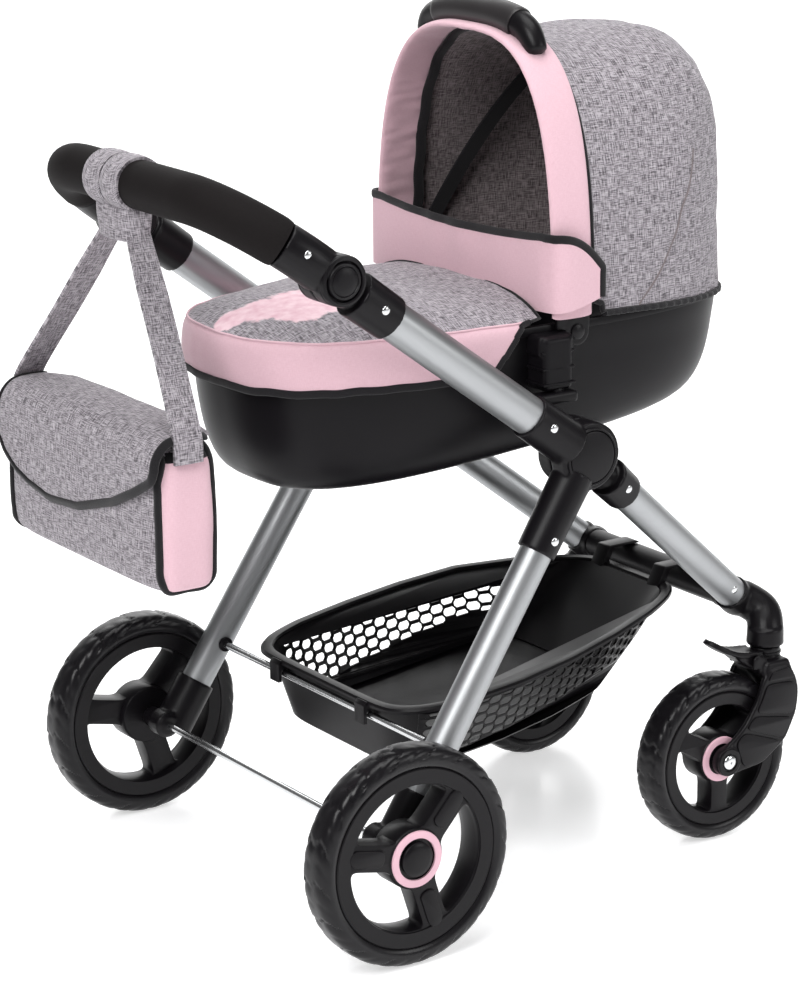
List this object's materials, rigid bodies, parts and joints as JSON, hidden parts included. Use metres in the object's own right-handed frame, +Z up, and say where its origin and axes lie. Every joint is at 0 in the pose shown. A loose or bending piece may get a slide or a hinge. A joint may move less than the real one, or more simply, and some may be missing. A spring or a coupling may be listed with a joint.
{
  "type": "doll pram",
  "caption": "Folding doll's pram with a lift-off carrycot, folding hood, tilting handle, swivelling front wheels, shopping tray and hanging bag.",
  "frame": {"origin": "on the floor, under the middle of the pram's overall length and width", "axes": "+X is the way the pram is pushed, from the handle to the front wheels; +Y is its left side; +Z is up, off the floor"},
  "size_m": [0.5748, 0.4298, 0.679],
  "materials": {
    "black_plastic": "satin moulded plastic",
    "tyre_plastic": "soft satin plastic",
    "silver_tube": "satin anodised",
    "steel": "bright rod",
    "pink_plastic": "semi-gloss",
    "pink_fabric": "satin weave",
    "grey_fabric": "melange weave",
    "foam": "matte foam sleeve"
  },
  "bodies": {
    "chassis": {"hub_left": "black_plastic", "hub_left_cap": "black_plastic", "handle_tube_left": "silver_tube", "knuckle_lower_left": "black_plastic", "rear_leg_left": "silver_tube", "leg_foot_left": "black_plastic", "cot_fitting_left": "black_plastic", "hub_right": "black_plastic", "hub_right_cap": "black_plastic", "handle_tube_right": "silver_tube", "knuckle_lower_right": "black_plastic", "rear_leg_right": "silver_tube", "leg_foot_right": "black_plastic", "cot_fitting_right": "black_plastic", "rear_axle": "steel", "tray_rod": "steel"},
    "front_frame": {"front_arm_left": "black_plastic", "front_tube_left": "silver_tube", "front_elbow_left": "black_plastic", "front_arm_right": "black_plastic", "front_tube_right": "silver_tube", "front_elbow_right": "black_plastic", "front_bar": "black_plastic"},
    "tray": {"tray": "black_plastic"},
    "handle": {"handle_grip": "foam", "knuckle_upper_left": "black_plastic", "knuckle_upper_right": "black_plastic"},
    "caster_left": {"fork_left": "black_plastic"},
    "front_wheel_left": {"front_wheel_left_tyre": "tyre_plastic", "front_wheel_left_rim": "black_plastic", "front_wheel_left_ring": "pink_plastic"},
    "lock_lever_left": {"lock_lever_left": "black_plastic"},
    "rear_wheel_left": {"rear_wheel_left_tyre": "tyre_plastic", "rear_wheel_left_rim": "black_plastic", "rear_wheel_left_ring": "pink_plastic", "rear_wheel_left_cap": "black_plastic"},
    "tilt_button_left": {"tilt_button_left": "black_plastic"},
    "caster_right": {"fork_right": "black_plastic"},
    "front_wheel_right": {"front_wheel_right_tyre": "tyre_plastic", "front_wheel_right_rim": "black_plastic", "front_wheel_right_ring": "pink_plastic"},
    "lock_lever_right": {"lock_lever_right": "black_plastic"},
    "rear_wheel_right": {"rear_wheel_right_tyre": "tyre_plastic", "rear_wheel_right_rim": "black_plastic", "rear_wheel_right_ring": "pink_plastic", "rear_wheel_right_cap": "black_plastic"},
    "tilt_button_right": {"tilt_button_right": "black_plastic"},
    "bag": {"bag_body": "grey_fabric", "bag_strap": "grey_fabric"},
    "bag_flap": {"bag_flap": "grey_fabric"},
    "cot": {"cot_tub": "black_plastic", "apron": "grey_fabric", "draught_flap": "pink_fabric"},
    "hood": {"hood_front_bow": "pink_fabric", "carry_handle": "foam", "canopy": "grey_fabric"},
    "hood_middle": {"hood_middle_bow": "black_plastic"}
  },
  "joints": [
    {"name": "frame_fold", "type": "hinge", "parent": "chassis", "child": "front_frame", "pos_m": [0.05643, 0, 0.3523], "axis": [0, 1, 0], "range_deg": [0, 35]},
    {"name": "tray_lift", "type": "hinge", "parent": "chassis", "child": "tray", "pos_m": [-0.08037, 0, 0.1456], "axis": [0, -1, 0], "range_deg": [0, 17.1]},
    {"name": "handle_tilt", "type": "hinge", "parent": "chassis", "child": "handle", "pos_m": [-0.16197, 0, 0.5136], "axis": [0, 1, 0], "range_deg": [-75, 20]},
    {"name": "bag_hang", "type": "hinge", "parent": "handle", "child": "bag", "pos_m": [-0.23597, 0, 0.56826], "axis": [0, 1, 0], "range_deg": [-20, 75]},
    {"name": "bag_flap_open", "type": "hinge", "parent": "bag", "child": "bag_flap", "pos_m": [-0.23237, 0, 0.402], "axis": [0, 1, 0], "range_deg": [0, 100], "deforming": ["bag_flap"]},
    {"name": "cot_lift", "type": "slide", "parent": "chassis", "child": "cot", "axis": [0, 0, 1], "range_m": [0, 0.1]},
    {"name": "hood_fold", "type": "hinge", "parent": "cot", "child": "hood", "pos_m": [0.07763, 0, 0.438], "axis": [0, 1, 0], "range_deg": [0, 75], "deforming": ["canopy"]},
    {"name": "hood_middle_fold", "type": "hinge", "parent": "cot", "child": "hood_middle", "pos_m": [0.07763, 0, 0.438], "axis": [0, 1, 0], "range_deg": [0, 57]},
    {"name": "caster_swivel_left", "type": "hinge", "parent": "front_frame", "child": "caster_left", "pos_m": [0.26763, 0.125, 0.14], "axis": [0, 0, 1], "continuous": true},
    {"name": "front_wheel_spin_left", "type": "hinge", "parent": "caster_left", "child": "front_wheel_left", "pos_m": [0.21263, 0.125, 0.069], "axis": [0, 1, 0], "continuous": true},
    {"name": "lock_lever_lift_left", "type": "hinge", "parent": "caster_left", "child": "lock_lever_left", "pos_m": [0.24913, 0.125, 0.146], "axis": [0, 1, 0], "range_deg": [0, 18]},
    {"name": "rear_wheel_spin_left", "type": "hinge", "parent": "chassis", "child": "rear_wheel_left", "pos_m": [-0.13437, 0.197, 0.085], "axis": [0, 1, 0], "continuous": true},
    {"name": "tilt_button_press_left", "type": "slide", "parent": "handle", "child": "tilt_button_left", "axis": [0, -1, 0], "range_m": [0, 0.003], "stiffness_N_per_m": 300},
    {"name": "caster_swivel_right", "type": "hinge", "parent": "front_frame", "child": "caster_right", "pos_m": [0.26763, -0.125, 0.14], "axis": [0, 0, 1], "continuous": true},
    {"name": "front_wheel_spin_right", "type": "hinge", "parent": "caster_right", "child": "front_wheel_right", "pos_m": [0.21263, -0.125, 0.069], "axis": [0, 1, 0], "continuous": true},
    {"name": "lock_lever_lift_right", "type": "hinge", "parent": "caster_right", "child": "lock_lever_right", "pos_m": [0.24913, -0.125, 0.146], "axis": [0, 1, 0], "range_deg": [0, 18]},
    {"name": "rear_wheel_spin_right", "type": "hinge", "parent": "chassis", "child": "rear_wheel_right", "pos_m": [-0.13437, -0.197, 0.085], "axis": [0, 1, 0], "continuous": true},
    {"name": "tilt_button_press_right", "type": "slide", "parent": "handle", "child": "tilt_button_right", "axis": [0, 1, 0], "range_m": [0, 0.003], "stiffness_N_per_m": 300}
  ],
  "couplings": [
    {"joint": "tray_lift", "follows": "frame_fold", "ratio": 0.486},
    {"joint": "bag_hang", "follows": "handle_tilt", "ratio": -1},
    {"joint": "hood_middle_fold", "follows": "hood_fold", "ratio": 0.76}
  ]
}
